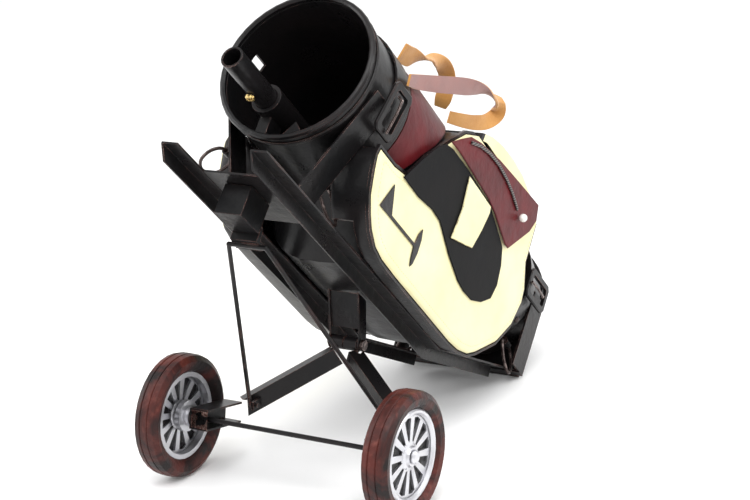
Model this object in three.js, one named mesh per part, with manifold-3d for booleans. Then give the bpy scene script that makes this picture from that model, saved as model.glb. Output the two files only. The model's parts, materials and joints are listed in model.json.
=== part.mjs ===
import * as THREE from 'three';
import { mergeVertices } from 'three/addons/utils/BufferGeometryUtils.js';
import Module from 'manifold-3d';

const wasm = await Module();
wasm.setup();

// Bag, in its own frame: x to the right, z up the bag, belly (cart side) at -y, mouth centre at zero
const TILT = 46.24;
const MOUTH_Y = 34.35;
const MOUTH_Z = 251.23;
const NECK_R = 47.5;
const WALL = 1.6;
const BAG_LEN = 303;
const BELLY = 80;

// Cart frame, in the bag's frame; "n" is the distance from the bag's axis towards the cart
const RAIL_X = 28.75;
const RAIL_N = 83.4;
const RAIL_TOP = 51;
const RAIL_BEND = -196;
const FLANGE_N = 7.5;
const FLANGE_X = 10.7;
const SHEET = 1.2;

// Undercarriage and wheels, in the world frame with the axle along x over y = 0
const WHEEL_R = 38;
const TYRE_W = 17;
const TRACK = 156;
const AXLE_R = 1.5;
const APEX_W = -150.5;
const APEX_N = 105;
const HOOK_W = -17;
const HOOK_N = 107.5;
const FOOT = [50.5, 35, 36];

const PAINT = { color: 0x17171a, roughness: 0.28, metalness: 0.5 };
const STEEL = { color: 0xb9b8bd, roughness: 0.3, metalness: 0.9 };
const BRASS = { color: 0xb59a55, roughness: 0.3, metalness: 0.9 };
const CREAM = { color: 0xf2ecc8, roughness: 0.4, metalness: 0.0 };
const MAROON = { color: 0x5a1a1c, roughness: 0.35, metalness: 0.1 };
const RUBBER = { color: 0x4a2422, roughness: 0.5, metalness: 0.0 };
const TAN = { color: 0xc08a45, roughness: 0.8, metalness: 0.0 };
const PEARL = { color: 0xe9e6dc, roughness: 0.2, metalness: 0.0 };

const group = new THREE.Group();
const cosT = Math.cos(THREE.MathUtils.degToRad(TILT));
const sinT = Math.sin(THREE.MathUtils.degToRad(TILT));
const bagAxisY = new THREE.Vector3(0, cosT, sinT);
const bagAxisZ = new THREE.Vector3(0, -sinT, cosT);
const BAG = new THREE.Matrix4().makeBasis(new THREE.Vector3(1, 0, 0), bagAxisY, bagAxisZ);
BAG.setPosition(0, MOUTH_Y, MOUTH_Z);

const v3 = (x, y, z) => new THREE.Vector3(x, y, z);
// A point of the bag's frame given as x, distance n towards the cart, height w up the bag
const b3 = (x, n, w) => new THREE.Vector3(x, -n, w);
const toWorld = (p) => p.clone().applyMatrix4(BAG);

function toManifold(geometry) {
  const g = geometry.clone();
  g.deleteAttribute('normal');
  g.deleteAttribute('uv');
  const m = mergeVertices(g, 1e-4);
  const vertProperties = Float32Array.from(m.attributes.position.array);
  const triVerts = Uint32Array.from(m.index.array);
  return new wasm.Manifold(new wasm.Mesh({ numProp: 3, vertProperties, triVerts }));
}

function fromManifold(solid) {
  const mesh = solid.getMesh();
  const g = new THREE.BufferGeometry();
  g.setAttribute('position', new THREE.BufferAttribute(Float32Array.from(mesh.vertProperties), 3));
  g.setIndex(new THREE.BufferAttribute(Uint32Array.from(mesh.triVerts), 1));
  return g;
}

function outward(geometry) {
  const g = geometry.clone();
  g.deleteAttribute('normal');
  g.deleteAttribute('uv');
  const m = mergeVertices(g, 1e-4);
  const p = m.attributes.position;
  const index = m.index.array;
  let volume = 0;
  const a = v3(), b = v3(), c = v3();
  for (let i = 0; i < index.length; i += 3) {
    a.fromBufferAttribute(p, index[i]);
    b.fromBufferAttribute(p, index[i + 1]);
    c.fromBufferAttribute(p, index[i + 2]);
    volume += a.dot(b.cross(c));
  }
  const kept = [];
  for (let i = 0; i < index.length; i += 3) {
    const t = volume < 0 ? [index[i], index[i + 2], index[i + 1]] : [index[i], index[i + 1], index[i + 2]];
    if (t[0] !== t[1] && t[1] !== t[2] && t[0] !== t[2]) kept.push(...t);
  }
  m.setIndex(kept);
  return m;
}

const union = (...parts) => fromManifold(parts.map((g) => toManifold(outward(g))).reduce((a, b) => a.add(b)));
const cut = (base, ...tools) => {
  const start = toManifold(outward(base));
  return fromManifold(tools.map((g) => toManifold(outward(g))).reduce((a, b) => a.subtract(b), start));
};
const common = (a, b) => fromManifold(toManifold(outward(a)).intersect(toManifold(outward(b))));

function add(name, geometry, look, matrix = null) {
  const g = outward(geometry);
  if (matrix) g.applyMatrix4(matrix);
  g.computeVertexNormals();
  const mesh = new THREE.Mesh(g, new THREE.MeshStandardMaterial(look));
  mesh.name = name;
  group.add(mesh);
}

// Solid of revolution about z from (radius, z) pairs; the outline is closed or touches the axis
function turned(outline, segments, closed = true) {
  const pts = outline.map(([r, z]) => new THREE.Vector2(r, z));
  if (closed) pts.push(pts[0].clone());
  const g = new THREE.LatheGeometry(pts, segments);
  g.rotateX(Math.PI / 2);
  return g;
}

// Flat plate: outline in (n, w) of the bag's frame, thick from x0 to x1, with an optional rounded edge
function sidePlate(outline, x0, x1, edge = 0, steps = 2) {
  const shape = new THREE.Shape(outline.map(([n, w]) => new THREE.Vector2(-n, w)));
  const depth = x1 - x0 - 2 * edge;
  const g = new THREE.ExtrudeGeometry(shape, {
    depth, bevelEnabled: edge > 0, bevelThickness: edge, bevelSize: edge, bevelOffset: -edge, bevelSegments: steps,
    curveSegments: 10,
  });
  g.applyMatrix4(new THREE.Matrix4().makeBasis(v3(0, 1, 0), v3(0, 0, 1), v3(1, 0, 0)));
  g.translate(x0 + edge, 0, 0);
  return g;
}

// Flat plate across the bag's axis: outline in (x, n), from w0 up to w1
function crossPlate(outline, w0, w1, holes = []) {
  const shape = new THREE.Shape(outline.map(([x, n]) => new THREE.Vector2(x, -n)));
  for (const hole of holes) shape.holes.push(new THREE.Path(hole.map(([x, n]) => new THREE.Vector2(x, -n))));
  const g = new THREE.ExtrudeGeometry(shape, { depth: w1 - w0, bevelEnabled: false, curveSegments: 12 });
  g.translate(0, 0, w0);
  return g;
}

function box(x0, x1, y0, y1, z0, z1) {
  const g = new THREE.BoxGeometry(x1 - x0, y1 - y0, z1 - z0);
  g.translate((x0 + x1) / 2, (y0 + y1) / 2, (z0 + z1) / 2);
  return g;
}

// Straight bar between two points; the outline is in (side, up) and "up" leans towards the hint
function beam(outline, from, to, hint) {
  const axis = to.clone().sub(from);
  const length = axis.length();
  axis.normalize();
  const side = axis.clone().cross(hint).normalize();
  const up = side.clone().cross(axis);
  const shape = new THREE.Shape(outline.map(([s, u]) => new THREE.Vector2(s, u)));
  const g = new THREE.ExtrudeGeometry(shape, { depth: length, bevelEnabled: false });
  g.applyMatrix4(new THREE.Matrix4().makeBasis(side, up, axis));
  return g.translate(from.x, from.y, from.z);
}

const circle = (r, n, x = 0, y = 0) => {
  const at = (i) => (2 * Math.PI * i) / n;
  return Array.from({ length: n }, (_, i) => [x + r * Math.cos(at(i)), y + r * Math.sin(at(i))]);
};

function rod(from, to, r, sides = 10) {
  const d = to.clone().sub(from);
  const hint = Math.abs(d.z) > 0.9 * d.length() ? v3(1, 0, 0) : v3(0, 0, 1);
  return beam(circle(r, sides), from, to, hint);
}

// Round wire through points, with a ball at each bend
function bentWire(points, r, sides = 6) {
  const parts = [];
  for (let i = 1; i < points.length; i += 1) parts.push(rod(points[i - 1], points[i], r, sides));
  for (let i = 1; i < points.length - 1; i += 1) {
    const ball = new THREE.SphereGeometry(r * 1.02, sides, 5);
    parts.push(ball.translate(points[i].x, points[i].y, points[i].z));
  }
  return union(...parts);
}

// Split ring: smooth wire through points that starts and ends a small gap apart
function splitRing(points, r, steps = 24, sides = 6) {
  const curve = new THREE.CatmullRomCurve3(points, false, 'centripetal');
  const shape = new THREE.Shape(circle(r, sides).map(([x, y]) => new THREE.Vector2(x, y)));
  return new THREE.ExtrudeGeometry(shape, { steps, bevelEnabled: false, extrudePath: curve });
}

// Flat strap along a smooth curve: its broad faces look out to the cream pocket's side until it is twisted
const STRAP_FACE = v3(0.47, -0.45, 0.76).normalize();
function strap(stations, thick, steps) {
  const mid = new THREE.CatmullRomCurve3(stations.map(([x, n, w]) => b3(x, n, w)), false, 'centripetal');
  const shape = new THREE.CatmullRomCurve3(stations.map((s) => v3(s[3], s[4], 0)));
  const g = new THREE.BoxGeometry(1, 1, thick, steps, 2, 1);
  const p = g.attributes.position;
  for (let i = 0; i < p.count; i += 1) {
    const t = THREE.MathUtils.clamp(p.getX(i) + 0.5, 0, 1);
    const along = mid.getTangent(t);
    const { x: width, y: twist } = shape.getPoint(t);
    const across = STRAP_FACE.clone().cross(along).normalize();
    across.applyAxisAngle(along, THREE.MathUtils.degToRad(twist));
    const normal = along.clone().cross(across);
    const q = mid.getPoint(t).addScaledVector(across, p.getY(i) * width).addScaledVector(normal, p.getZ(i));
    p.setXYZ(i, q.x, q.y, q.z);
  }
  return g;
}

// ---- Bag body: round neck that swells into a belly on the cart side ----

const smooth = (a, b, t) => THREE.MathUtils.smoothstep(t, a, b);
const bellyAt = (w) => (BELLY - NECK_R) * smooth(54, 92, -w) * (1 - smooth(190, 290, -w));

// Moves a turned shell's belly half outwards; "grow" is the shell's offset from the outer skin
function swell(geometry, grow) {
  const p = geometry.attributes.position;
  for (let i = 0; i < p.count; i += 1) {
    const x = p.getX(i), y = p.getY(i), w = p.getZ(i);
    const r = Math.hypot(x, y);
    const bulge = bellyAt(Math.max(w, -BAG_LEN)) * Math.min(1, r / 30);
    if (y >= 0 || bulge < 1e-6 || r < 1) continue;
    const power = 2 / (2 + 1.1 * (bulge / (BELLY - NECK_R)));
    const cx = x / r, cy = -y / r;
    const sx = Math.sign(cx) * Math.abs(cx) ** power * r;
    const sy = cy ** power * (r + bulge);
    p.setXYZ(i, sx, -sy, w);
  }
  return geometry;
}

const skinR = (w) => NECK_R - 3.5 * smooth(230, 303, -w);
const levels = [-54, -63, -74, -90, -190, -208, -228, -248, -268, -287];

function skin(grow, top, bottom) {
  const outline = [[0, bottom]];
  outline.push([skinR(bottom) + grow, bottom]);
  for (const w of [...levels].reverse()) if (w > bottom + 2 && w < top - 2) outline.push([skinR(w) + grow, w]);
  outline.push([NECK_R + grow, top]);
  outline.push([0, top]);
  return swell(turned(outline, 40, false), grow);
}

const slot = box(-60, -30, 11.5, 16.5, -29, -17);
const bagOuter = skin(0, -2.3, -BAG_LEN);
const bagInner = skin(-WALL, 5, -BAG_LEN + WALL);
add('bag_shell', cut(bagOuter, bagInner, slot), PAINT, BAG);

const bead = circle(1.9, 7, NECK_R - 0.3, 0);
add('mouth_bead', turned(bead, 40), PAINT, BAG);
const ridge = [[NECK_R + 0.3, -8], [NECK_R + 1.2, -7.4], [NECK_R + 1.2, -5.6], [NECK_R + 0.3, -5]];
add('neck_ridge', turned(ridge, 40), PAINT, BAG);

// ---- Cradle, belts and their buckles ----

const tangent = THREE.MathUtils.degToRad(22.8);
const cradleR = NECK_R + 0.4;
const footN = RAIL_N - SHEET - 0.4;
const slopeX = (n) => cradleR / Math.cos(tangent) - n * Math.tan(tangent);
const plateT = 1.3;
const cradleOuter = [[slopeX(6) + plateT * 1.1, 6], [slopeX(footN) + plateT * 1.1, footN]];
const cradleInner = [[slopeX(footN - plateT), footN - plateT], [slopeX(6), 6]];
const mirrorX = (list) => list.map(([x, n]) => [-x, n]).reverse();
const cradleShape = [...cradleOuter, ...mirrorX(cradleOuter), ...mirrorX(cradleInner), ...cradleInner];
add('cradle_upper', crossPlate(cradleShape, -30.5, -10.5), PAINT, BAG);

// Part ring about the bag's axis between two angles (0 at +x, 90 at the cart side)
function band(r0, r1, a0, a1, w0, w1, segments) {
  const rad = THREE.MathUtils.degToRad;
  const outer = [], inner = [];
  for (let i = 0; i <= segments; i += 1) {
    const a = rad(a0 + ((a1 - a0) * i) / segments);
    outer.push([r1 * Math.cos(a), r1 * Math.sin(a)]);
    inner.push([r0 * Math.cos(a), r0 * Math.sin(a)]);
  }
  return crossPlate([...outer, ...inner.reverse()], w0, w1);
}

const BELT_R = NECK_R + 0.5;
add('belt_upper', band(BELT_R, BELT_R + 1.4, -252, 72, -51.5, -31.2, 40), PAINT, BAG);


// Turns a piece made at +x about the bag's axis; the angle grows towards the cart side
const around = (g, angle) => g.rotateZ(-THREE.MathUtils.degToRad(angle));
const shellRing = (r0, r1, w0, w1) => common(cut(skin(r1, w1, w0), skin(r0, w1 + 5, w0 - 5)), box(-99, 99, -99, 99, w0, w1));
add('belt_lower', shellRing(0.4, 1.8, -286.5, -268.5), PAINT, BAG);

function buckle(n0, n1, w0, w1, x, rim, thick) {
  const corner = (a, b, c, d, k) => [[a + k, c], [b - k, c], [b, c + k], [b, d - k], [b - k, d], [a + k, d], [a, d - k], [a, c + k]];
  const outer = sidePlate(corner(n0, n1, w0, w1, 3), x, x + thick, 0.6, 1);
  const inner = sidePlate(corner(n0 + rim, n1 - rim, w0 + rim, w1 - rim, 1.5), x - 1, x + thick + 1);
  return cut(outer, inner);
}
add('buckle_upper', around(buckle(-16, 16, -41, -19, 52.2, 4.2, 2.6), 9), PAINT, BAG);
const prongA = [v3(52, 10.2, -30), v3(55.4, 8, -30), v3(56.2, 0, -30), v3(56, -14, -30)];
add('buckle_upper_prong', around(bentWire(prongA, 0.9), 9), STEEL, BAG);
add('buckle_lower', around(buckle(-11, 10, -296, -262, 50, 4.2, 2.6), -1), PAINT, BAG);
const prongB = [v3(50.6, 0, -290.2), v3(53.2, 0, -287), v3(53.9, 0, -278), v3(53.7, 0, -263.5)];
add('buckle_lower_prong', around(bentWire(prongB, 0.9), -1), STEEL, BAG);

function rivet(r, height) {
  const dome = [[0, 0], [r, 0], [r, height * 0.4], [r * 0.75, height * 0.8], [r * 0.35, height], [0, height]];
  return turned(dome, 12, false).rotateY(Math.PI / 2);
}
add('belt_upper_rivet', around(rivet(2.4, 1.3).translate(BELT_R + 1.7, 0, -41.5), 58), STEEL, BAG);
add('belt_lower_rivet', around(rivet(2.2, 1.3).translate(49.2, 0, -277.5), 27), STEEL, BAG);

// ---- Swinging rings, each through a short keeper tube ----

const tubeAlongW = (bore, r, half) => turned([[bore, -half], [r, -half], [r, half], [bore, half]], 14);

// Loop given as (out, w) stations for one half; it swings about the w line through its first point
function ring(half, angle, x, n, w, r) {
  const upper = half.map(([out, up]) => [out, up]);
  const all = [...upper.map(([out, up]) => [out, -up]), ...upper.slice(0, -1).reverse()];
  const a = THREE.MathUtils.degToRad(angle);
  const points = all.map(([out, up]) => b3(x + out * Math.cos(a), n + out * Math.sin(a), w + up));
  return splitRing(points, r);
}
const dRing = [[0, 0.5], [0, 3.5], [0, 6.6], [1.2, 9.6], [5, 10.4], [13, 10], [21, 8.8], [27.5, 6], [30.6, 0]];
const roundRing = [[0, 0.5], [0, 2.2], [0, 4], [2.2, 7.4], [6, 9.4], [10.5, 9.4], [15, 7.2], [18, 0]];
const baseRing = [[0, 0.5], [0, 3], [0, 5.4], [1.2, 7.6], [4.5, 8], [12, 7.8], [18.5, 5.8], [22.5, 0]];

const keeperWeb = box(49.8, 51.3, -1.5, 1.5, -48, -37);
const keeperTube = tubeAlongW(1.35, 2.6, 5.5).translate(53.05, 0, -42.5);
add('ring_right_keeper', around(union(keeperTube, keeperWeb), 72.9), PAINT, BAG);
add('ring_right', ring(dRing, 59, 15.6, 50.7, -42.5, 1.1), STEEL, BAG);
add('ring_left_keeper', tubeAlongW(1.35, 2.5, 2.8).translate(-35.2, -51.2, -15.5), PAINT, BAG);
add('ring_left', ring(roundRing, 135, -35.2, 51.2, -15.5, 1.1), STEEL, BAG);
const lowTube = tubeAlongW(1.35, 2.6, 4.2).translate(49.5, 0, -290.5);
const lowWeb = box(45.1, 47.3, -1.5, 1.5, -294.5, -287);
add('ring_base_right_keeper', around(union(lowTube, lowWeb), 45), PAINT, BAG);
add('ring_base_right', ring(baseRing, 69, 35, 35, -290.5, 1.1), STEEL, BAG);
const lowTubeL = tubeAlongW(1.35, 2.6, 4.2).translate(49.5, 0, -290.5);
add('ring_base_left_keeper', around(union(lowTubeL, lowWeb.clone()), 135), PAINT, BAG);
add('ring_base_left', ring(baseRing, 111, -35, 35, -290.5, 1.1), STEEL, BAG);

// ---- Base: cradle strap and the foot plate whose lower edge is on the ground ----

const BASE_W = -309.7;
const groundN = (MOUTH_Z + cosT * BASE_W) / sinT;
const side = (x0, x1) => box(x0, x1, -50.2, 4.5, -306.9, -287.5);
add('cradle_lower', union(side(44.9, 46.3), side(-46.3, -44.9), box(-46.3, 46.3, -51, -49.6, -306.9, -300.6)), PAINT, BAG);
const arch = Array.from({ length: 19 }, (_, i) => [43 * Math.cos((Math.PI * i) / 18), -4.5 - 43 * Math.sin((Math.PI * i) / 18)]);
add('base_plate', crossPlate([[-43, groundN], [43, groundN], ...arch], BASE_W, -307.3), PAINT, BAG);
add('base_screw', rivet(2.6, 2).rotateY(-Math.PI / 2).translate(38, 0, -307), STEEL, BAG);

// ---- Rails, cross plate, strut clevis and hook ----

const RAIL_END = [53.5, -290];
function rail(x) {
  const t = SHEET;
  const web = [[RAIL_N, RAIL_TOP], [RAIL_N + FLANGE_N, RAIL_TOP - 7.5], [RAIL_N + FLANGE_N, RAIL_BEND],
    [RAIL_END[0] + 7.5, RAIL_END[1] - 1], RAIL_END, [RAIL_N, RAIL_BEND]];
  const lip = [[RAIL_N, RAIL_TOP], [RAIL_N, RAIL_BEND], RAIL_END, [RAIL_END[0] - t, RAIL_END[1] + 0.4],
    [RAIL_N - t, RAIL_BEND + 0.2], [RAIL_N - t, RAIL_TOP]];
  return union(sidePlate(web, x, x + t), sidePlate(lip, x, x + FLANGE_X));
}
add('rail_right', rail(RAIL_X), PAINT, BAG);
add('rail_left', rail(-RAIL_X), PAINT, BAG);
add('cross_plate', box(-17.7, 28.4, -RAIL_N, -(RAIL_N - SHEET), -32, 22), PAINT, BAG);

const clevisOuter = box(-8.8, 8.8, -102.2, -83.8, -11, 11);
const clevisGap = box(-7.6, 7.6, -101, -80, -9.8, 9.8);
add('strut_clevis', cut(clevisOuter, clevisGap), PAINT, BAG);

// Open roll that the strut's top bar lies in: arc of a tube about x, open towards the cart side
const roll = [];
for (let i = 0; i <= 12; i += 1) roll.push([3.2, 92 + (i * 190) / 12]);
for (let i = 12; i >= 0; i -= 1) roll.push([1.9, 92 + (i * 190) / 12]);
const rollShape = roll.map(([r, a]) => {
  const t = THREE.MathUtils.degToRad(a);
  return [HOOK_N + r * Math.cos(t), HOOK_W + r * Math.sin(t)];
});
const hookStem = [[97.5, -11.3], [106.9, -11.3], [106.9, -14], [104.9, -15], [97.5, -12.9]];
add('strut_hook', union(sidePlate(rollShape, -8.8, 8.8), sidePlate(hookStem, -8.8, 8.8)), PAINT, BAG);

// ---- Column down from the belly, apex pin, folding legs ----

const columnSide = [[80.6, -127], [APEX_N - 3.2, -145.6], [APEX_N + 0.5, -146.2], [APEX_N + 3, -147.6],
  [APEX_N + 4.2, -150.5], [APEX_N + 3, -153.4], [APEX_N, -155], [APEX_N - 4, -154.6], [80.6, -138.5]];
const columnWeb = [[80.6, -128.4], [97.6, -144.3], [96.6, -145.1], [80.6, -130]];
const pinHole = rod(b3(-20, APEX_N, APEX_W), b3(20, APEX_N, APEX_W), 2.1, 16);
const column = union(sidePlate(columnSide, -11, -9.8), sidePlate(columnSide, 9.8, 11), sidePlate(columnWeb, -11, 11));
add('column', cut(column, pinHole), PAINT, BAG);
const pinShank = rod(b3(-12.6, APEX_N, APEX_W), b3(12.6, APEX_N, APEX_W), 2, 16);
const pinHead = rod(b3(11.4, APEX_N, APEX_W), b3(13.4, APEX_N, APEX_W), 3.4, 12);
add('apex_pin', union(pinShank, pinHead), STEEL, BAG);

const LEG_TOP = [-4, 66, 64];
const LEG_END = [-61, 35, 29.5];
const angleIron = [[-1.2, -6], [0, -6], [0, 3.8], [8, 3.8], [8, 5], [-1.2, 5]];
const apex = toWorld(b3(0, APEX_N, APEX_W));
const apexRod = (x0, x1, r, sides) => rod(v3(x0, apex.y, apex.z), v3(x1, apex.y, apex.z), r, sides);
const footRod = (x0, x1, r, sides) => rod(v3(x0, FOOT[1], FOOT[2]), v3(x1, FOOT[1], FOOT[2]), r, sides);

// Left leg in the world frame: angle iron, knuckle on the apex pin, lug for the strut's foot, axle stub
function leg() {
  const iron = beam(angleIron, v3(...LEG_TOP), v3(...LEG_END), v3(0, 0, 1));
  const lug = box(-48.2, -46.4, FOOT[1] - 2.6, FOOT[1] + 9, FOOT[2] - 2.6, FOOT[2] + 2.6);
  const knuckle = apexRod(-9.3, -0.3, 4.3, 16);
  const bores = [apexRod(-20, 20, 2.1, 16), footRod(-60, -40, 1.5, 9), apexRod(-11.5, -9.4, 5.4, 16)];
  const parted = cut(union(iron, lug, knuckle), ...bores);
  return cut(parted, box(-0.2, 30, 0, 120, 0, 140));
}
function stub() {
  const outline = [[-6.5, -6.5], [6.5, -6.5], [6.5, 6.5], [-6.5, 6.5]];
  const inner = [[-9, -5.3], [5.3, -5.3], [5.3, 5.3], [-9, 5.3]];
  const from = v3(-61, 31, 31.5), to = v3(-61, -5, 39.2);
  const channel = cut(beam(outline, from, to, v3(0, 0, 1)), beam(inner, from, to, v3(0, 0, 1)));
  return cut(channel, rod(v3(-90, 0, WHEEL_R), v3(-30, 0, WHEEL_R), AXLE_R + 0.3, 12));
}
const mirrored = (g) => outward(g).applyMatrix4(new THREE.Matrix4().makeScale(-1, 1, 1));
const stubL = stub();
const legL = cut(leg(), beam([[-6.9, -6.9], [20, -6.9], [20, 6.9], [-6.9, 6.9]], v3(-61, 50, 27.4), v3(-61, -5, 39.2), v3(0, 0, 1)));
add('leg_left', legL, PAINT);
add('leg_right', mirrored(legL), PAINT);
add('axle_stub_left', stubL, PAINT);
add('axle_stub_right', mirrored(stubL), PAINT);
add('axle', rod(v3(-TRACK / 2 + 2, 0, WHEEL_R), v3(TRACK / 2 - 2, 0, WHEEL_R), AXLE_R, 14), PAINT);

// Strut: one bent wire, top bar in the hook and a pin at each foot
const barL = toWorld(b3(-12.5, HOOK_N, HOOK_W)), barR = toWorld(b3(12.5, HOOK_N, HOOK_W));
const strutPath = [v3(-44.5, FOOT[1], FOOT[2]), v3(-FOOT[0], FOOT[1], FOOT[2]), barL, barR,
  v3(FOOT[0], FOOT[1], FOOT[2]), v3(44.5, FOOT[1], FOOT[2])];
add('strut', bentWire(strutPath, 1.35, 9), PAINT);

// ---- Wheels ----

const tyreOutline = [[27.2, 4.6], [30, 7.7], [34, 8.5], [37.3, 6.4], [38, 3.2], [37.2, 2.6], [38, 2], [38, -2],
  [37.2, -2.6], [38, -3.2], [37.3, -6.4], [34, -8.5], [30.4, -7.4], [27.2, -4.6]];
function spokedDisc() {
  const shape = new THREE.Shape(circle(24.8, 24).map(([x, y]) => new THREE.Vector2(x, y)));
  for (let k = 0; k < 12; k += 1) {
    const mid = (k * Math.PI) / 6;
    const edge = (r, side) => {
      const a = mid + side * (Math.PI / 12 - (1 + 0.055 * r) / r);
      return new THREE.Vector2(r * Math.cos(a), r * Math.sin(a));
    };
    const tip = (r) => new THREE.Vector2(r * Math.cos(mid), r * Math.sin(mid));
    shape.holes.push(new THREE.Path([edge(8.4, -1), edge(22.2, -1), tip(23), edge(22.2, 1), edge(8.4, 1)]));
  }
  return new THREE.ExtrudeGeometry(shape, { depth: 3.4, bevelEnabled: false });
}
const barrel = [[24, -4.4], [26.9, -4.4], [26.9, 4.3], [27.6, 5.4], [26.6, 6.3], [25.2, 6.2], [24, 4.6]];
const hubOutline = [[0, -9.5], [5.8, -9.5], [5.8, -6.5], [9.8, -6], [9.8, -2.5], [6.5, -1.5], [9.2, 0.5], [9.2, 3.4], [6.4, 4.6], [5.6, 6.2], [0, 6.2]];
const rimParts = [turned(barrel, 32), turned(hubOutline, 16, false), spokedDisc().translate(0, 0, 0.4)];
const rim = cut(union(...rimParts), rod(v3(0, 0, -12), v3(0, 0, -1.6), AXLE_R + 0.08, 14));
const capOutline = [[0, 6.5], [4.2, 6.5], [4.2, 7.4], [3, 8.6], [0, 9]];
function wheel(name, sideSign) {
  const place = (g) => g.rotateY((sideSign * Math.PI) / 2).translate((sideSign * TRACK) / 2, 0, WHEEL_R);
  add(name + '_tyre', place(turned(tyreOutline, 36)), RUBBER);
  add(name + '_rim', place(rim.clone()), STEEL);
  add(name + '_cap', place(turned(capOutline, 12, false)), STEEL);
}
wheel('wheel_left', -1);
wheel('wheel_right', 1);

// ---- Tubes in the mouth ----

const TUBE = [-10.3, -23.5];
const ringTube = (bore, r, w0, w1, sides) => turned([[bore, w0], [r, w0], [r, w1], [bore, w1]], sides);
const sleeveArm = box(-14, -6.6, -43.2, -31.8, -17, -4);
const sleeveBody = ringTube(7, 9.4, -58, 2, 20).translate(TUBE[0], TUBE[1], 0);
const sleeveBore = rod(v3(TUBE[0], TUBE[1], -80), v3(TUBE[0], TUBE[1], 20), 7, 20);
add('club_sleeve', cut(union(sleeveBody, sleeveArm), sleeveBore), PAINT, BAG);
add('club_tube', ringTube(5.6, 6.8, -50, 45, 20).translate(TUBE[0], TUBE[1], 0), PAINT, BAG);
const screwTurn = new THREE.Matrix4().makeRotationX(Math.PI / 2);
const screwHead = turned([[0, 0], [2.9, 0], [2.9, 1.3], [2.2, 2], [0, 2]], 12, false).applyMatrix4(screwTurn);
const screwSlot = box(-4, 4, -5, -1.4, -0.4, 0.4);
add('tube_screw', cut(screwHead, screwSlot).translate(-11.2, -30.6, 15), BRASS, BAG);
add('mouth_tab', crossPlate([[4, 45], [18, 41.5], [11, 34]], -4.2, -3), PAINT, BAG);

// ---- Side pockets: open-backed pillows in front of the body ----

const panelOutline = [[31, -32], [36, -31], [44, -33], [58, -38], [67, -45], [73, -51], [79, -61], [81.5, -72], [82.5, -93],
  [83, -142], [83.5, -180], [82.5, -194], [79, -208], [73, -218], [55, -241], [37, -254], [18, -259], [8, -257],
  [-7, -247], [-23, -246], [-38, -245], [-38, -134], [-30, -118], [-15, -103], [-8, -97], [7, -84], [28, -70], [31, -52]];
function pillow(outline, x0, x1, edge, inset, steps = 1) {
  const shape = new THREE.Shape(outline.map(([n, w]) => new THREE.Vector2(-n, w)));
  const g = new THREE.ExtrudeGeometry(shape, {
    depth: x1 - x0 - 2 * edge, bevelEnabled: true, bevelThickness: edge, bevelSize: edge, bevelOffset: -edge - inset,
    bevelSegments: steps,
  });
  g.applyMatrix4(new THREE.Matrix4().makeBasis(v3(0, 1, 0), v3(0, 0, 1), v3(1, 0, 0)));
  return g.translate(x0 + edge, 0, 0);
}
const bodyClear = skin(0.5, 5, -BAG_LEN - 5);
const beltClear = turned([[0, -52.5], [49.9, -52.5], [49.9, -30], [0, -30]], 40, false);
const railClear = box(0, 40.4, -99, -70, -300, 0);
const pocketInside = pillow(panelOutline, 8, 52.7, 3, 1.3, 2);
const pocketShell = cut(pillow(panelOutline, 24, 54, 4, 0, 3), pocketInside, bodyClear, beltClear, railClear);
add('pocket_right', pocketShell, CREAM, BAG);
add('pocket_left', mirrored(pocketShell), CREAM, BAG);
const pipingOuter = pillow(panelOutline, 49.8, 52, 0.01, -1.9);
const pipingInner = pillow(panelOutline, 30, 60, 0.01, -0.35);
const pipe = cut(pipingOuter, pipingInner, box(0, 99, 36.2, 99, -300, 0));
add('pocket_right_piping', pipe, PAINT, BAG);

const backOutline = [[-20, -140], [-44, -141], [-48, -152], [-51, -168], [-52, -186], [-51, -204], [-47, -221], [-41, -236],
  [-34, -247], [-26, -252], [-20, -253]];
const frontPart = box(-60, 80, -20, 38.4, -300, -100);
const backInside = pillow(backOutline, -36.7, 52.7, 3, 1.3, 2);
add('pocket_back', cut(pillow(backOutline, -38, 54, 4, 0, 3), backInside, bodyClear, frontPart), CREAM, BAG);


// ---- Panels laid on the pockets, the yoke below the belt and the strap handles ----

const inlayOutline = [[33, -61], [12, -75], [-3, -87], [-9, -95], [-11, -104], [-11.3, -131], [-9, -170], [0, -195],
  [4, -204], [14, -210], [27, -213], [38, -210], [46, -199], [51, -186], [51.5, -173], [50, -162], [43, -141],
  [38, -130], [32, -117], [31, -104], [33.5, -84]];
const tongueOutline = [[-8, -132], [13, -136], [34, -134], [30, -149], [26, -163], [11, -168], [-3, -171], [-7.5, -170]];
const flapOutline = [[-12, -97], [-20, -107], [-28, -118], [-32, -132], [-37, -162], [-40, -195], [-43, -232], [-33, -236],
  [-22, -231], [-10, -220], [2, -209], [2, -203], [-6.5, -178], [-9.5, -163], [-11.5, -129], [-12.5, -110]];
add('pocket_inlay', pillow(inlayOutline, 54.3, 55.3, 0.3, 0), PAINT, BAG);
add('pocket_tongue', pillow(tongueOutline, 55.6, 56.5, 0.3, 0), CREAM, BAG);
add('pocket_flap', pillow(flapOutline, 55.6, 57, 0.5, 0), MAROON, BAG);

const zipPath = [[-24, -118], [-28.5, -130], [-31.5, -144], [-32.5, -160], [-31, -176], [-28, -190], [-23.5, -203]];
const zipRows = [...zipPath.map(([n, w]) => [n + 1.1, w]), ...zipPath.map(([n, w]) => [n - 1.1, w]).reverse()];
add('zip_line', sidePlate(zipRows, 57.3, 58.3), PAINT, BAG);
add('zip_pull', new THREE.SphereGeometry(2.8, 14, 10).translate(60.4, 21, -209), PEARL, BAG);

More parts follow.
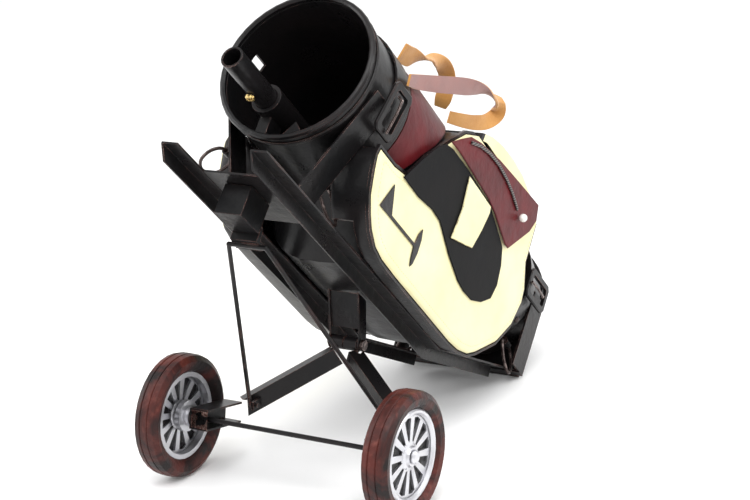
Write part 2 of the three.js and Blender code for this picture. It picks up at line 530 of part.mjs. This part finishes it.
const yokeOutline = [[28.4, -52.4], [28.4, -60], [25.6, -68.4], [7.4, -81], [-7.6, -93.8], [-15.4, -100.4], [-28.6, -113],
  [-33, -118], [-40, -121], [-43, -112], [-42, -92], [-38, -72], [-32, -52.4]];
const yokeSkin = cut(skin(1.9, -40, -160), skin(0.6, 5, -180));
add('yoke', common(yokeSkin, sidePlate(yokeOutline, 5, 80)), MAROON, BAG);

const flag = [[59.4, -97.2], [59.4, -46.6], [41.2, -54.7], [57.4, -62.7], [57.4, -97.2], [50.6, -98.3],
  [45.6, -101.2], [51.9, -103.5], [60.6, -103.9], [68.1, -102.4], [71.2, -100.2], [65.6, -98.1]];
add('emblem', sidePlate(flag, 54.3, 54.9), PAINT, BAG);

// Stations of a strap: x, n, w, width and twist in degrees
const tanPath = [
  [22.5, -52.5, -64, 12, 0], [21, -57.2, -76.8, 13, 10], [19, -67.9, -95.9, 6, 90],
  [17, -77.1, -110.3, 8, 160], [15, -82.7, -126.2, 10.5, 180], [13, -82.1, -138.6, 11, 180],
  [11, -77.3, -145.6, 11, 180], [9, -71.4, -149.9, 11, 180], [6, -68, -154.6, 8, 180],
];
const brownPath = [
  [50, -18.6, -38.8, 7, 0], [46, -27.3, -55.2, 9, 0], [42, -44.8, -86.2, 10.5, 0],
  [38, -62.1, -116, 11, 0], [34, -79.5, -147.8, 9, 25], [30, -89.4, -172.6, 6, 90],
  [27, -93.4, -190.8, 9, 155], [24, -90.2, -197.5, 10.5, 180], [21, -81.5, -193.1, 10.5, 180],
  [18, -73.9, -182.3, 10, 180], [15, -67.6, -169, 9, 180], [12, -63.8, -159.4, 8, 180],
];
add('strap_tan', strap(tanPath, 1.5, 36), TAN, BAG);
add('strap_brown', strap(brownPath, 1.5, 40), MAROON, BAG);

// The frame's origin is under the middle of the whole object, on the ground
const whole = new THREE.Box3();
for (const mesh of group.children) whole.expandByObject(mesh);
const middle = whole.getCenter(v3());
for (const mesh of group.children) mesh.geometry.translate(-middle.x, -middle.y, -whole.min.z);

export default group;
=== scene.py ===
import json
import math

import bmesh
import bpy
from mathutils import Matrix, Vector


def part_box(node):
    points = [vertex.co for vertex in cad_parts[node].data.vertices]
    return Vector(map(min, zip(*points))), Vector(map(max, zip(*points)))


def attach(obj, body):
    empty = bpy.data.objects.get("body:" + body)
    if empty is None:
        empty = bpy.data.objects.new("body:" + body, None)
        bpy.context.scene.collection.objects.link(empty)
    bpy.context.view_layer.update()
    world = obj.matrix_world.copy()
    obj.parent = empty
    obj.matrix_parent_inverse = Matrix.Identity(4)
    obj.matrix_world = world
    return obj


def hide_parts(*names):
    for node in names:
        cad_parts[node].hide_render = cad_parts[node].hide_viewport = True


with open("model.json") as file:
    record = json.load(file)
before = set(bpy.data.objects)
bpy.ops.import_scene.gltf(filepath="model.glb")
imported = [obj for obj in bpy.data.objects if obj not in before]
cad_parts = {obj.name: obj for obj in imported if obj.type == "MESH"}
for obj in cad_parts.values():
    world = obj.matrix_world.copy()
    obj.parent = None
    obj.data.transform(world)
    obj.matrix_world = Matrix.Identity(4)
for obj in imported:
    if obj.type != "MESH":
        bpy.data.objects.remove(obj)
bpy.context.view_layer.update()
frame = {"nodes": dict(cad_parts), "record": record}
nodes = frame["nodes"]
body_of_node = {n: b for b, ns in frame["record"]["behaviour"]["bodies"].items() for n in ns}
MM = 0.001


# ---- Shader tools ----


class Value:
    """A number or vector that varies over a surface; arithmetic on it adds Math nodes."""

    def __init__(self, finish, socket):
        self.finish, self.socket = finish, socket

    def _math(self, operation, a, b, clamp=False):
        settings = {"operation": operation, "use_clamp": clamp}
        return self.finish.node("ShaderNodeMath", settings, {0: a, 1: b})

    def __add__(self, other):
        return self._math("ADD", self, other)

    def __sub__(self, other):
        return self._math("SUBTRACT", self, other)

    def __rsub__(self, other):
        return self._math("SUBTRACT", other, self)

    def __mul__(self, other):
        return self._math("MULTIPLY", self, other)

    __radd__, __rmul__ = __add__, __mul__

    def above(self, start, end):
        """0 below start, 1 above end, a straight ramp between."""
        return self._math("MULTIPLY", self - start, 1 / (end - start), clamp=True)


class Finish:
    """A node material: node() adds any node, the rest are short forms of it."""

    def __init__(self, name):
        self.material = bpy.data.materials.new(name)
        self.material.use_nodes = True
        self.tree = self.material.node_tree
        self.shader = self.tree.nodes["Principled BSDF"]

    def node(self, kind, settings=None, inputs=None, output=0):
        made = self.tree.nodes.new(kind)
        for key, value in (settings or {}).items():
            if key == "stops":
                for element, (place, colour) in zip(made.color_ramp.elements, value):
                    element.position, element.color = place, (*colour, 1)
            else:
                setattr(made, key, value)
        for key, value in (inputs or {}).items():
            self.feed(made.inputs[key], value)
        return Value(self, made.outputs[output])

    def feed(self, socket, value):
        if isinstance(value, Value):
            self.tree.links.new(value.socket, socket)
        elif hasattr(value, "__len__") and socket.type == "RGBA":
            socket.default_value = (*value, 1)
        else:
            socket.default_value = value

    def place(self):
        return self.node("ShaderNodeTexCoord", output=3)

    def noise(self, scale, detail=3, roughness=0.55, distortion=0.0, at=None):
        inputs = {"Vector": at or self.place(), "Scale": scale, "Detail": detail}
        inputs.update({"Roughness": roughness, "Distortion": distortion})
        return self.node("ShaderNodeTexNoise", None, inputs)

    def stretched(self, x, y, z):
        scale = {"Scale": (x, y, z), "Vector": self.place()}
        return self.node("ShaderNodeMapping", None, scale)

    def cells(self, scale):
        where = {"Vector": self.place(), "Scale": scale}
        return self.node("ShaderNodeTexVoronoi", {"feature": "F1"}, where)

    def mix(self, factor, a, b):
        settings = {"data_type": "RGBA"}
        return self.node("ShaderNodeMix", settings, {0: factor, 6: a, 7: b}, output=2)

    def edges(self, radius):
        """Near 1 on corners that stick out or turn in, 0 on open faces."""
        rounded = self.node("ShaderNodeBevel", {"samples": 4}, {"Radius": radius})
        flat = self.node("ShaderNodeNewGeometry", None, None, output=1)
        settings = {"operation": "DOT_PRODUCT"}
        dot = self.node("ShaderNodeVectorMath", settings, {0: rounded, 1: flat}, output=1)
        return (1 - dot) * 6.0

    def bump(self, height, distance, strength=1.0):
        inputs = {"Height": height, "Distance": distance, "Strength": strength}
        return self.node("ShaderNodeBump", None, inputs)

    def finish(self, colour, roughness, height=None, depth=0.0, metallic=0.0, **fixed):
        self.feed(self.shader.inputs["Base Color"], colour)
        self.feed(self.shader.inputs["Roughness"], roughness)
        self.feed(self.shader.inputs["Metallic"], metallic)
        if height is not None:
            self.feed(self.shader.inputs["Normal"], self.bump(height, depth))
        for name, value in fixed.items():
            self.feed(self.shader.inputs[name.replace("_", " ")], value)
        return self.material


def black_enamel():
    """Thick gloss black brushed over sheet metal, rubbed through to red-brown and bare steel at the edges."""
    f = Finish("black enamel")
    cloud = f.noise(60, 4)
    fine = f.noise(900, 3, 0.7)
    edge = f.edges(0.0006)
    rub = ((edge - 0.08) * (cloud.above(0.44, 0.66)) * 1.4).above(0.15, 0.8)
    bare = rub.above(0.55, 0.95) * fine.above(0.45, 0.6)
    brown = f.mix(cloud, (0.055, 0.012, 0.009), (0.17, 0.055, 0.038))
    tint = f.noise(25, 2).above(0.35, 0.75) * 0.5
    colour = f.mix(tint, (0.006, 0.006, 0.0065), (0.016, 0.011, 0.011))
    colour = f.mix(rub, colour, brown)
    colour = f.mix(bare, colour, (0.42, 0.31, 0.27))
    roughness = 0.2 + cloud * 0.14 + rub * 0.25 + fine * 0.05
    height = f.noise(140, 3) * 0.8 + fine * 0.12 - rub * 0.5
    return f.finish(colour, roughness, height, 0.0004, bare * 0.7, IOR=1.3)


def inlay_black():
    """The dull black let into the pocket's face: almost no sheen, a few faint rubs."""
    f = Finish("inlay black")
    cloud = f.noise(40, 4)
    colour = f.mix(cloud.above(0.4, 0.8), (0.0035, 0.0035, 0.004), (0.010, 0.009, 0.009))
    height = cloud + f.noise(500, 2) * 0.1
    return f.finish(colour, 0.42 + cloud * 0.2, height, 0.0003, IOR=1.16)


def cream_enamel():
    """Cream paint on sheet metal: soft brush marks, cloudy yellowing and dark rubbing at the edges."""
    f = Finish("cream enamel")
    brush = f.noise(60, 3, at=f.stretched(1, 0.25, 2.2))
    cloud = f.noise(22, 3)
    edge = f.edges(0.0012)
    yellow = f.mix(cloud.above(0.35, 0.7), (0.80, 0.75, 0.47), (0.75, 0.675, 0.36))
    speck = f.noise(420, 2).above(0.69, 0.76) * f.noise(30, 2).above(0.5, 0.62)
    worn = (edge * f.noise(110, 4).above(0.46, 0.62)).above(0.25, 0.8)
    colour = f.mix(speck * 0.5, yellow, (0.38, 0.27, 0.12))
    colour = f.mix(worn * 0.85, colour, (0.20, 0.13, 0.07))
    roughness = 0.34 + brush * 0.16 + worn * 0.15
    height = brush * 0.6 + cloud * 0.8 + f.noise(300, 2) * 0.1
    return f.finish(colour, roughness, height, 0.0005, IOR=1.35)


def maroon_enamel():
    f = Finish("maroon enamel")
    cloud = f.noise(45, 4)
    edge = f.edges(0.001)
    rub = (edge * cloud.above(0.42, 0.6)).above(0.2, 0.8)
    colour = f.mix(cloud.above(0.35, 0.7), (0.060, 0.004, 0.006), (0.115, 0.009, 0.012))
    colour = f.mix(rub * 0.8, colour, (0.014, 0.008, 0.008))
    roughness = 0.26 + cloud * 0.18 + rub * 0.2
    height = f.noise(120, 3) + f.noise(700, 2) * 0.1
    return f.finish(colour, roughness, height, 0.0004, IOR=1.24)


def cast_silver():
    """Die-cast wheel metal with painted shade darkening the hollows, so the raised edges stand out bright."""
    f = Finish("cast silver")
    grain = f.noise(500, 4, 0.65)
    cloud = f.noise(120, 3)
    settings = {"samples": 6, "only_local": True}
    hollow = f.node("ShaderNodeAmbientOcclusion", settings, {"Distance": 0.003}, output=1)
    # painted shade: the colour goes nearly black wherever ambient occlusion finds the surface hemmed in, as
    # between the spokes and round the hub
    hollow_shade = (1 - hollow).above(0.22, 0.62) * cloud.above(0.2, 0.45)
    colour = f.mix(cloud, (0.50, 0.50, 0.53), (0.72, 0.72, 0.75))
    colour = f.mix(hollow_shade, colour, (0.03, 0.03, 0.035))
    roughness = 0.26 + grain * 0.2 + hollow_shade * 0.3
    return f.finish(colour, roughness, grain + cloud * 0.6, 0.00025, 0.95)


def dark_steel():
    """Small hardware: plated once, now brown-grey with pinkish bright rubs."""
    f = Finish("rubbed dark steel")
    cloud = f.noise(160, 4)
    bright = (f.edges(0.0005) + cloud.above(0.45, 0.65) * 0.6).above(0.35, 0.9)
    colour = f.mix(bright, (0.035, 0.022, 0.020), (0.50, 0.40, 0.37))
    return f.finish(colour, 0.24 + cloud * 0.22, f.noise(600, 3), 0.0002, 0.55 + bright * 0.4)


def brass():
    f = Finish("brass")
    cloud = f.noise(300, 3)
    colour = f.mix(cloud, (0.50, 0.33, 0.10), (0.78, 0.60, 0.28))
    return f.finish(colour, 0.2 + cloud * 0.2, cloud, 0.0001, 1.0)


def painted_tyre():
    """Moulded tyre painted maroon-brown, with black rubbed over it in long smears."""
    f = Finish("tyre paint")
    smear = f.noise(28, 4, 0.6, 1.2)
    fine = f.noise(260, 3)
    colour = f.mix(smear.above(0.40, 0.60), (0.012, 0.008, 0.008), (0.080, 0.017, 0.013))
    colour = f.mix(fine.above(0.5, 0.8) * smear.above(0.45, 0.6), colour, (0.15, 0.045, 0.035))
    roughness = 0.30 + smear * 0.18 + fine * 0.08
    return f.finish(colour, roughness, fine + smear * 0.5, 0.0004, IOR=1.3)


def leather(name, dark, light, edge_colour, nap, gloss):
    """Strap leather: pores, long creases and a darker cut edge; nap is how much suede fuzz shows."""
    f = Finish(name)
    cloud = f.noise(55, 4)
    pores = f.cells(1500)
    crease = f.noise(160, 3, at=f.stretched(3.0, 0.6, 0.6))
    edge = f.edges(0.0007).above(0.1, 0.8)
    colour = f.mix(cloud.above(0.3, 0.7), dark, light)
    colour = f.mix(f.noise(1100, 2) * nap, colour, light)
    colour = f.mix(edge * 0.6, colour, edge_colour)
    height = pores * 0.5 + crease * 0.7 + f.noise(1800, 2) * nap
    return f.finish(colour, gloss + cloud * 0.15, height, 0.0003, Sheen_Weight=0.15 + 0.3 * nap)


def pearl():
    f = Finish("pearl bead")
    cloud = f.noise(200, 2, 0.5, 1.5)
    colour = f.mix(cloud, (0.62, 0.60, 0.58), (0.86, 0.83, 0.78))
    return f.finish(colour, 0.12 + cloud * 0.1, cloud, 0.0001, Coat_Weight=0.6)


def zip_teeth():
    """Dark metal teeth in a row: bands across the line, with a painted highlight on each tooth's top and
    painted shade, black, in the gaps.
    """
    f = Finish("zip teeth")
    bands = {"Vector": f.place(), "Scale": 190.0, "Distortion": 0.4}
    teeth_and_painted_light = f.node("ShaderNodeTexWave", {"wave_type": "BANDS", "bands_direction": "Z"}, bands)
    # the bands are partly the teeth's own pattern and partly painted light: a painted highlight on each tooth
    # top, painted shade in the gaps
    colour = f.mix(teeth_and_painted_light.above(0.45, 0.8), (0.008, 0.007, 0.007), (0.20, 0.17, 0.16))
    return f.finish(colour, 0.3 + teeth_and_painted_light * 0.15, teeth_and_painted_light, 0.0006, teeth_and_painted_light.above(0.4, 0.8) * 0.7)


def thread():
    f = Finish("waxed thread")
    twist = f.noise(2500, 2)
    colour = f.mix(twist, (0.50, 0.40, 0.17), (0.72, 0.62, 0.33))
    return f.finish(colour, 0.5 + twist * 0.2, twist, 0.0002)


def studio_floor():
    f = Finish("studio floor")
    soft = f.noise(3, 2)
    colour = f.mix(soft, (0.94, 0.94, 0.94), (0.96, 0.96, 0.96))
    return f.finish(colour, 0.55 + soft * 0.05)


finishes = {
    "black_paint": black_enamel(),
    "cream_paint": cream_enamel(),
    "maroon_paint": maroon_enamel(),
    "cast_silver": cast_silver(),
    "worn_steel": dark_steel(),
    "brass_screw": brass(),
    "tyre_rubber": painted_tyre(),
    "tan_leather": leather(
        "tan suede", (0.46, 0.19, 0.035), (0.66, 0.33, 0.085), (0.30, 0.11, 0.03), 0.6, 0.62
    ),
    "brown_leather": leather(
        "brown strap leather", (0.17, 0.050, 0.040), (0.27, 0.095, 0.075), (0.09, 0.03, 0.025), 0.15, 0.38
    ),
    "pearl_bead": pearl(),
}


# ---- Carried-over solids: finish, weld and soften every edge ----

slot_of = {s["node"]: s["material_slot"] for s in frame["record"]["subparts"]}
POCKET_OUTWARD = {"pocket_right": 1, "pocket_back": 1, "pocket_left": -1}
ROUND_EDGE = {**dict.fromkeys(POCKET_OUTWARD, 0.5), "bag_shell": 0.3, "zip_pull": 0.05}
PLAIN_EDGE = 0.22
STRAP_EDGE = 0.35
FRONT_FACE = 0.45  # a pocket's face is painted cream where it turns outwards by more than this


def soften(obj, width):
    for polygon in obj.data.polygons:
        polygon.use_smooth = True
    weld = obj.modifiers.new("weld", "WELD")
    weld.merge_threshold = 2e-6
    bevel = obj.modifiers.new("soft edge", "BEVEL")
    bevel.width, bevel.segments = width * MM, 2
    bevel.limit_method, bevel.angle_limit = "ANGLE", math.radians(33)
    bevel.harden_normals = True


def clear_normals(obj):
    with bpy.context.temp_override(object=obj, active_object=obj, selected_objects=[obj]):
        bpy.ops.mesh.customdata_custom_splitnormals_clear()


for name, obj in nodes.items():
    obj.data.materials.clear()
    obj.data.materials.append(finishes[slot_of[name]])
    clear_normals(obj)
    soften(obj, ROUND_EDGE.get(name, PLAIN_EDGE))

nodes["pocket_inlay"].data.materials[0] = inlay_black()
nodes["zip_line"].data.materials[0] = zip_teeth()
for name, outward in POCKET_OUTWARD.items():
    data = nodes[name].data
    data.materials.append(finishes["black_paint"])
    for polygon in data.polygons:
        polygon.material_index = 0 if polygon.normal.x * outward > FRONT_FACE else 1


# ---- Outlines read back from the solids ----


def face_loop(node, x):
    """The border, in order, of the flat face that the solid has at that x."""
    mesh = bmesh.new()
    mesh.from_mesh(nodes[node].data)
    bmesh.ops.remove_doubles(mesh, verts=mesh.verts, dist=2e-6)
    flat = {f for f in mesh.faces if all(abs(v.co.x - x) < 2e-5 for v in f.verts)}
    border = [e for e in mesh.edges if len(set(e.link_faces) & flat) == 1]
    links = {}
    for e in border:
        for a, b in (tuple(e.verts), tuple(e.verts)[::-1]):
            links.setdefault(a, []).append(b)
    start = border[0].verts[0]
    loop, here, before = [start.co.copy()], links[start][0], start
    while here is not start:
        loop.append(here.co.copy())
        here, before = next(v for v in links[here] if v is not before), here
    mesh.free()
    return loop


def resample(points, spacing):
    """Evenly spaced points along a closed outline."""
    line = points + [points[0]]
    lengths = [(b - a).length for a, b in zip(line, line[1:])]
    total = sum(lengths)
    steps = max(2, round(total / spacing))
    made, index, run = [], 0, 0.0
    for k in range(steps):
        want = total * k / steps
        while index < len(lengths) - 1 and run + lengths[index] < want:
            run += lengths[index]
            index += 1
        t = 0 if lengths[index] == 0 else (want - run) / lengths[index]
        made.append(line[index].lerp(line[index + 1], min(1, t)))
    return made


def new_piece(name, mesh, finish, body):
    data = bpy.data.meshes.new(name)
    mesh.normal_update()
    mesh.to_mesh(data)
    mesh.free()
    obj = bpy.data.objects.new(name, data)
    bpy.context.scene.collection.objects.link(obj)
    for polygon in data.polygons:
        polygon.use_smooth = True
    data.materials.append(finish)
    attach(obj, body)
    return obj


# ---- Leather strap handles ----


def strap(name, node, outer, inner, start_x):
    """The strap's own solid with rounded edges; the side seen first past start_x gets the outer leather."""
    mesh = bmesh.new()
    mesh.from_mesh(nodes[node].data)
    bmesh.ops.remove_doubles(mesh, verts=mesh.verts, dist=2e-6)
    left, groups = set(mesh.faces), []
    while left:
        group, queue = set(), [left.pop()]
        while queue:
            face = queue.pop()
            group.add(face)
            for edge in face.edges:
                for other in edge.link_faces:
                    if other in left and edge.calc_face_angle(3) < math.radians(50):
                        left.discard(other)
                        queue.append(other)
        groups.append(group)
    groups.sort(key=lambda g: -sum(f.calc_area() for f in g))

    def faces_out(group):
        near = [f for f in group if f.calc_center_median().x > start_x * MM]
        return sum(f.normal.dot(STRAP_FACE) * f.calc_area() for f in near)

    broad = max(groups[:2], key=faces_out)
    for face in mesh.faces:
        face.material_index = 0 if face in broad else 1
    obj = new_piece(name, mesh, outer, "bag")
    obj.data.materials.append(inner)
    soften(obj, STRAP_EDGE)
    rounding = obj.modifiers.new("rounding", "SUBSURF")
    rounding.levels = rounding.render_levels = 2
    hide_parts(node)
    return obj


STRAP_FACE = Vector((0.49, -0.82, 0.29))
tan, brown = finishes["tan_leather"], finishes["brown_leather"]
strap("tan_carry_strap", "strap_tan", tan, tan, 17)
strap("brown_shoulder_strap", "strap_brown", brown, tan, 36)


# ---- Painted shade: a black sheet between the spokes of each wheel ----


SHADE_SHEET_STEPS = 72
SHADE_SHEET_OUTLINE = [
    (7, 0.3), (7, -0.3), (12, -0.45), (18, -0.3),
    (24.2, -0.35), (24.2, 0.35), (18, 0.3), (12, 0.45),
]


def spoke_shade_sheet(side, body):
    """A thin dished and rippled black sheet in the middle of the spokes' thickness, standing in for the shade
    seen between the spokes.
    """
    low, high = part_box(body + "_rim")
    centre = (low + high) / 2
    plane = side * (abs(high.x + low.x) / 2 + 3.6 * MM)
    mesh = bmesh.new()
    rings = []
    for radius, depth in SHADE_SHEET_OUTLINE:
        ring = []
        for k in range(SHADE_SHEET_STEPS):
            angle = 2 * math.pi * k / SHADE_SHEET_STEPS
            ripple = 0.08 * math.sin(12 * angle)
            spoke = Vector((0, radius * math.cos(angle), radius * math.sin(angle))) * MM
            middle = Vector((plane + (depth + ripple) * MM, centre.y, centre.z))
            ring.append(mesh.verts.new(middle + spoke))
        rings.append(ring)
    for i, ring in enumerate(rings):
        other = rings[(i + 1) % len(rings)]
        for k in range(SHADE_SHEET_STEPS):
            n = (k + 1) % SHADE_SHEET_STEPS
            mesh.faces.new((ring[k], ring[n], other[n], other[k]))
    bmesh.ops.recalc_face_normals(mesh, faces=mesh.faces)
    # painted shade: black paint on a sheet that fills the open gaps between the spokes
    shade_sheet = new_piece(body + "_spoke_shade_sheet", mesh, finishes["black_paint"], body)


spoke_shade_sheet(-1, "wheel_left")
spoke_shade_sheet(1, "wheel_right")


# ---- Stitched seam round the cream pocket ----


def stitches(name, loop, out, length, gap, width, finish):
    """A closed row of short thread stitches, lying on a face that points along out."""
    mesh = bmesh.new()
    points = resample(loop, length + gap)
    count = len(points)
    for i in range(count):
        a, b = points[i], points[(i + 1) % count]
        along = (b - a).normalized()
        side = along.cross(out)
        tip = length / 2
        mid = (a + b) / 2
        ends = [(-tip, 0.15), (-tip * 0.6, 0.85), (0, 1), (tip * 0.6, 0.85), (tip, 0.15)]
        rows = []
        for t, fat in ends:
            ring = []
            for k in range(6):
                angle = math.pi * 2 * k / 6
                offset = side * math.cos(angle) + out * math.sin(angle) * 0.8
                ring.append(mesh.verts.new(mid + along * t + offset * width * fat / 2))
            rows.append(ring)
        for r, s in zip(rows, rows[1:]):
            for k in range(6):
                n = (k + 1) % 6
                mesh.faces.new((r[k], r[n], s[n], s[k]))
        mesh.faces.new(rows[0][::-1])
        mesh.faces.new(rows[-1])
    bmesh.ops.recalc_face_normals(mesh, faces=mesh.faces)
    return new_piece(name, mesh, finish, "bag")


def inset_loop(loop, distance):
    """The outline moved inwards in its own x plane."""
    centre = sum(loop, Vector()) / len(loop)
    made = []
    for i, p in enumerate(loop):
        before, after = loop[i - 1], loop[(i + 1) % len(loop)]
        along = (after - before).normalized()
        side = along.cross(Vector((1, 0, 0)))
        if side.dot(centre - p) < 0 and i == 0:
            distance = -distance
        made.append(p + side * distance)
    return made


seam_thread = thread()
face_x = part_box("pocket_right")[1].x
border = resample(face_loop("pocket_right", face_x), 2 * MM)
seam = resample(inset_loop(border, 1.2 * MM), 1.0 * MM)
outwards = Vector((1, 0, 0))
seam_obj = stitches(
    "cream_pocket_stitching", seam, outwards, 1.6 * MM, 1.0 * MM, 0.4 * MM, seam_thread
)


# ---- Stage, light and camera ----


def studio():
    mesh = bmesh.new()
    bmesh.ops.create_grid(mesh, x_segments=8, y_segments=8, size=6)
    data = bpy.data.meshes.new("studio floor")
    mesh.to_mesh(data)
    mesh.free()
    floor = bpy.data.objects.new("studio_floor", data)
    bpy.context.scene.collection.objects.link(floor)
    data.materials.append(studio_floor())
    world = bpy.data.worlds.new("studio")
    bpy.context.scene.world = world
    world.use_nodes = True
    world.node_tree.nodes["Background"].inputs[0].default_value = (1, 1, 1, 1)
    world.node_tree.nodes["Background"].inputs[1].default_value = 1.0


def softbox(name, place, target, size, watts):
    light = bpy.data.lights.new(name, "AREA")
    light.shape, light.size, light.size_y, light.energy = "RECTANGLE", size[0], size[1], watts
    obj = bpy.data.objects.new(name, light)
    bpy.context.scene.collection.objects.link(obj)
    obj.location = place
    obj.rotation_euler = (Vector(target) - Vector(place)).to_track_quat("-Z", "Y").to_euler()


bpy.context.scene.view_settings.view_transform = "Standard"
studio()
softbox("key softbox", (0.3, -0.5, 1.3), (0, 0, 0.12), (0.9, 0.9), 14)
softbox("left softbox", (-1.1, -0.5, 0.6), (0, 0, 0.12), (0.5, 0.8), 6)
softbox("right strip", (1.1, 0.5, 0.7), (0, 0, 0.12), (0.3, 0.8), 5)

CAMERA_RIGHT = Vector((0.866254, 0.497088, -0.050078))
CAMERA_UP = Vector((-0.103914, 0.277310, 0.955144))
CAMERA_BACK = Vector((0.488678, -0.822194, 0.291875))
AXLE_TO_CAMERA = Vector((0.55101, -0.81609, 0.44837))
axle_low, axle_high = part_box("axle")
axle_on_ground = Vector((0, (axle_low.y + axle_high.y) / 2, 0))
camera_data = bpy.data.cameras.new("camera")
camera_data.lens, camera_data.sensor_width = 86.4, 36
camera_data.clip_start, camera_data.clip_end = 0.05, 30
camera = bpy.data.objects.new("camera", camera_data)
bpy.context.scene.collection.objects.link(camera)
camera.matrix_world = Matrix.Translation(axle_on_ground + AXLE_TO_CAMERA) @ Matrix(
    (CAMERA_RIGHT, CAMERA_UP, CAMERA_BACK)
).transposed().to_4x4()
bpy.context.scene.camera = camera
